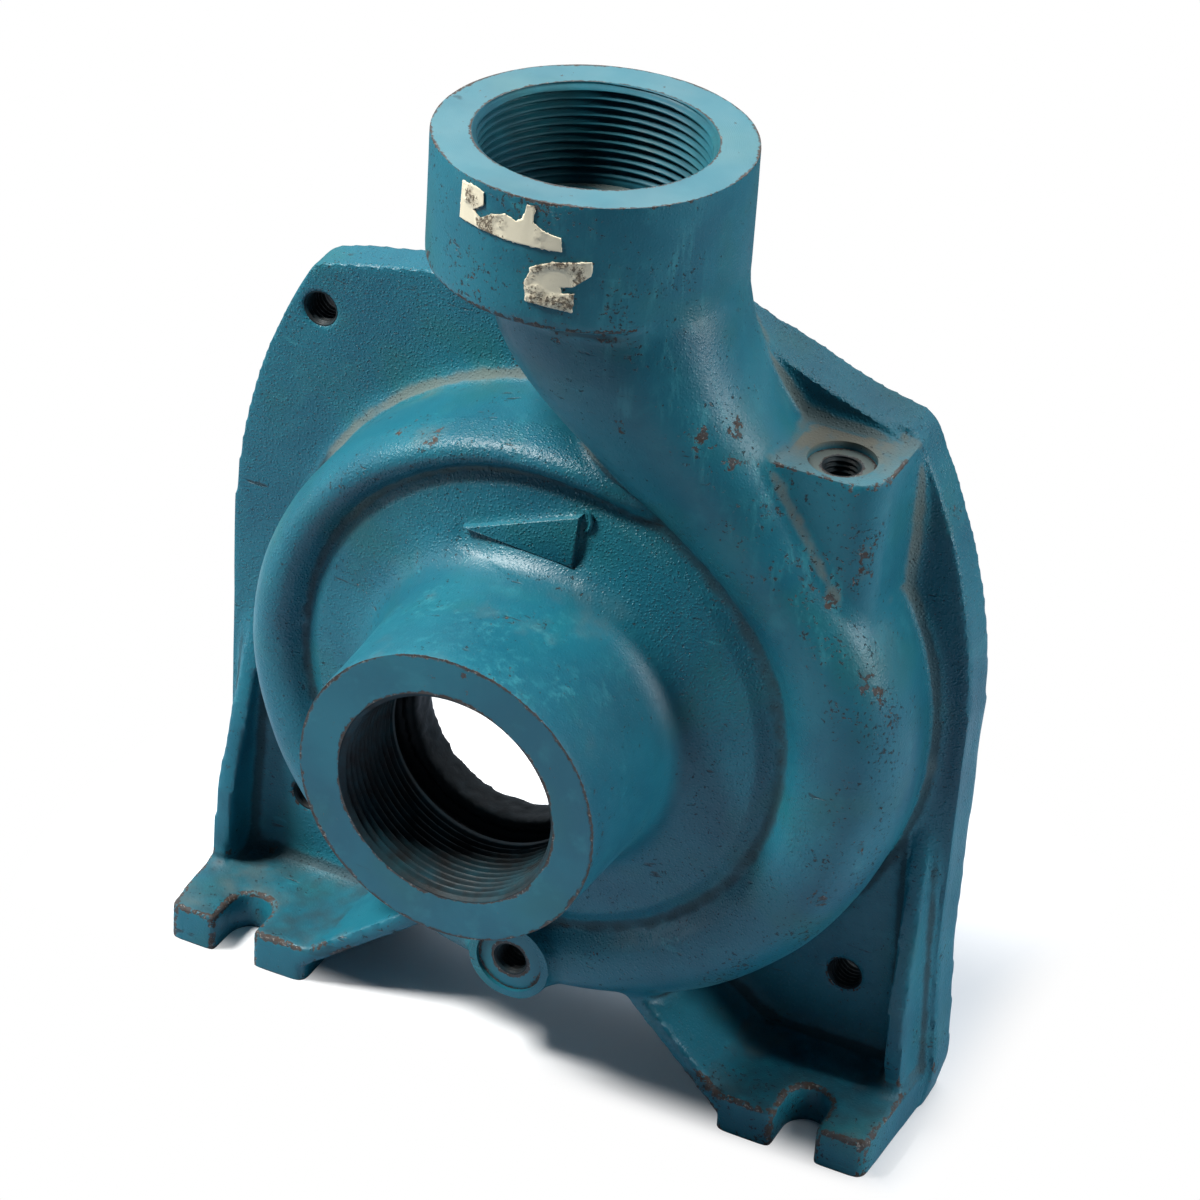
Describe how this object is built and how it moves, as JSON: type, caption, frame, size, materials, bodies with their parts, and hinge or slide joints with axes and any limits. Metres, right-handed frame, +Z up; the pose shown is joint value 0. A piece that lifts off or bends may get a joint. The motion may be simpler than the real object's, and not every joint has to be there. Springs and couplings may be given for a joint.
{
  "type": "volute pump casing",
  "caption": "One-piece cast volute casing of a close-coupled centrifugal pump, with threaded suction nose, upright threaded discharge, motor flange and slotted feet.",
  "frame": {"origin": "where the pump axis meets the motor face", "axes": "-Y out through the suction nose, +X to the right seen from the suction side, +Z up"},
  "size_m": [0.221, 0.106, 0.267],
  "materials": {
    "painted_casting": "worn teal-blue enamel over sand-cast grey iron, chipped to brown and grey at the edges",
    "label_paper": "dirty cream paper"
  },
  "bodies": {
    "root": {"pump_casing": "painted_casting", "label_scrap_upper": "label_paper", "label_scrap_lower": "label_paper"}
  },
  "joints": []
}
